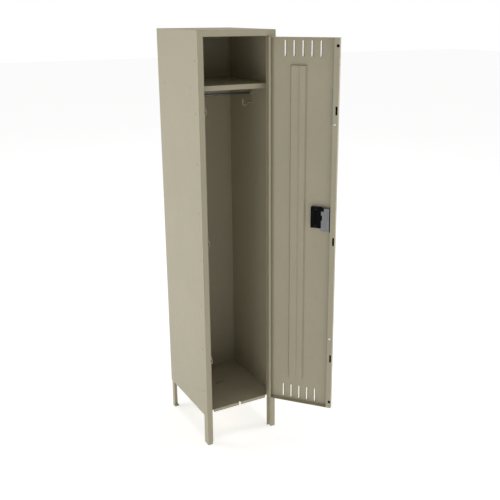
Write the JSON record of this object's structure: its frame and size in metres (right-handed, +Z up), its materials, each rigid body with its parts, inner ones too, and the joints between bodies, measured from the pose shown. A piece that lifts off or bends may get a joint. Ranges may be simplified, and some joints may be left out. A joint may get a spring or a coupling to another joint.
{
  "type": "school locker",
  "caption": "Tall single-tier steel locker on legs, its louvred door open on a hat shelf, coat rod, hooks and a lift latch.",
  "frame": {"origin": "on the floor at the centre of the cabinet's footprint, the open door left out", "axes": "+Z up, +X to the right as one faces the doorway, +Y from the doorway towards the back"},
  "size_m": [0.5631, 0.7193, 1.9812],
  "materials": {
    "putty_paint": "putty tan baked enamel, satin",
    "zinc_steel": "zinc-plated steel, satin",
    "cup_steel": "brushed stainless steel",
    "black_plastic": "fine-textured black nylon",
    "black_steel": "black-oxide screws",
    "white_nylon": "natural nylon",
    "black_rubber": "matt black rubber"
  },
  "bodies": {
    "cabinet": {"left_upright": "putty_paint", "right_upright": "putty_paint", "head_rail": "putty_paint", "left_side_panel": "putty_paint", "right_side_panel": "putty_paint", "back_panel": "putty_paint", "roof_panel": "putty_paint", "floor_pan": "putty_paint", "hat_shelf": "putty_paint", "left_rear_leg": "putty_paint", "right_rear_leg": "putty_paint", "coat_rod": "zinc_steel", "rod_brackets": "putty_paint", "left_coat_hook": "putty_paint", "right_coat_hook": "putty_paint", "jamb_hooks": "putty_paint", "side_bolts": "putty_paint", "side_nuts": "zinc_steel", "shelf_bolts": "putty_paint", "back_bolts": "putty_paint", "floor_bolts": "cup_steel", "hinge_frame_leaves": "putty_paint", "hinge_pins": "zinc_steel"},
    "door": {"hinge_door_leaves": "putty_paint", "hinge_rivets": "zinc_steel", "door_panel": "putty_paint", "door_stiffener": "putty_paint", "handle_cup": "cup_steel", "latch_cover": "black_plastic", "cover_screws": "black_steel", "bar_guides": "zinc_steel", "guide_buttons": "white_nylon", "door_bumpers": "black_rubber"},
    "latch": {"lock_bar": "zinc_steel", "latch_clips": "black_plastic", "lift_bracket": "zinc_steel", "lift_handle": "black_plastic"}
  },
  "joints": [
    {"name": "door_hinge", "type": "hinge", "parent": "cabinet", "child": "door", "pos_m": [0.1621, -0.2296, 1.065], "axis": [0, 0, 1], "range_deg": [-130.4, 44.6]},
    {"name": "latch_lift", "type": "slide", "parent": "door", "child": "latch", "axis": [0, 0, 1], "range_m": [0, 0.012]}
  ]
}
